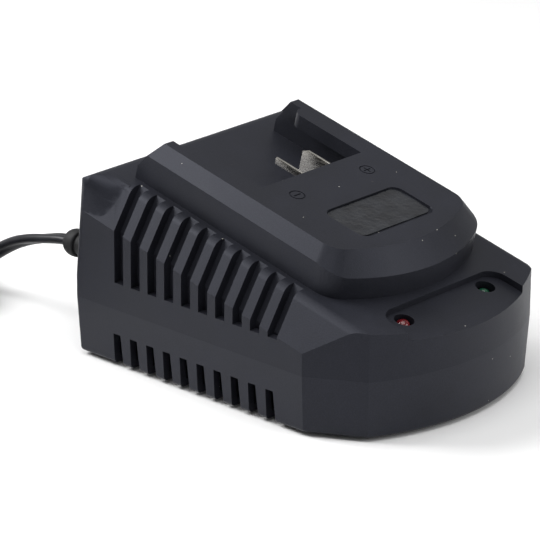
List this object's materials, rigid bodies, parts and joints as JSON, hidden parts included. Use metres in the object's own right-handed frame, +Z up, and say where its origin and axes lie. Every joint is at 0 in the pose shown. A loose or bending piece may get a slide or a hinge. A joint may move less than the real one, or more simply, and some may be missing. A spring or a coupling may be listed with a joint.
{
  "type": "power tool battery charger",
  "caption": "Bench charger with a sloping top, a raised T-slot dock with contact blades for a slide-on tool battery, grooved sides, status lamps and a mains cord.",
  "frame": {"origin": "on the ground under the middle of the case, at the underside of the rubber feet", "axes": "+Z up, -Y towards the nose with the lamps, +Y towards the wall where the cord leaves, +X to the right when seen from the nose"},
  "size_m": [0.1576, 0.2553, 0.0742],
  "materials": {
    "case_plastic": "spark-textured dark charcoal ABS",
    "foot_rubber": "matt black rubber",
    "screw_steel": "zinc-plated steel",
    "badge_gloss": "glossy black, blank",
    "lamp_red": "red epoxy lens",
    "lamp_green": "green epoxy lens",
    "board_laminate": "green solder mask",
    "wire_sleeve": "PVC insulation",
    "contact_nickel": "nickel-plated brass",
    "block_plastic": "black glass-filled nylon",
    "ferrite": "dark grey ferrite",
    "bobbin_plastic": "black phenolic",
    "winding_copper": "enamelled copper under tape",
    "can_sleeve": "aluminium can in a dark sleeve",
    "cap_yellow": "yellow film capacitor box",
    "fuse_glass": "glass tube",
    "varistor_blue": "blue epoxy",
    "chip_epoxy": "black epoxy",
    "sink_aluminium": "extruded aluminium",
    "cord_pvc": "black PVC cord",
    "relief_rubber": "black rubber",
    "pin_nickel": "nickel-plated brass"
  },
  "bodies": {
    "root": {"top_case": "case_plastic", "bottom_case": "case_plastic", "rubber_feet": "foot_rubber", "case_screws": "screw_steel", "badge_plate": "badge_gloss", "led_red": "lamp_red", "led_green": "lamp_green", "lamp_board": "board_laminate", "lamp_board_screws": "screw_steel", "lamp_wires": "wire_sleeve", "terminal_negative": "contact_nickel", "terminal_positive": "contact_nickel", "terminal_block": "block_plastic", "battery_wires": "wire_sleeve", "main_pcb": "board_laminate", "pcb_screws": "screw_steel", "transformer_core": "ferrite", "transformer_bobbin": "bobbin_plastic", "transformer_winding": "winding_copper", "primary_capacitor": "can_sleeve", "output_capacitors": "can_sleeve", "x_capacitor": "cap_yellow", "line_filter_core": "ferrite", "line_filter_windings": "winding_copper", "fuse": "fuse_glass", "varistor": "varistor_blue", "bridge_rectifier": "chip_epoxy", "mosfet": "chip_epoxy", "output_diode": "chip_epoxy", "heat_sink": "sink_aluminium", "controller_chip": "chip_epoxy", "optocoupler": "chip_epoxy", "mains_wires": "wire_sleeve", "cord_clamp": "block_plastic", "cord_clamp_screws": "screw_steel", "cord_inner": "cord_pvc", "strain_relief": "relief_rubber", "mains_cord": "cord_pvc", "cord_coil": "cord_pvc", "coil_tie": "cord_pvc", "cord_tail": "cord_pvc", "plug_body": "cord_pvc", "plug_pins": "pin_nickel"}
  },
  "joints": []
}
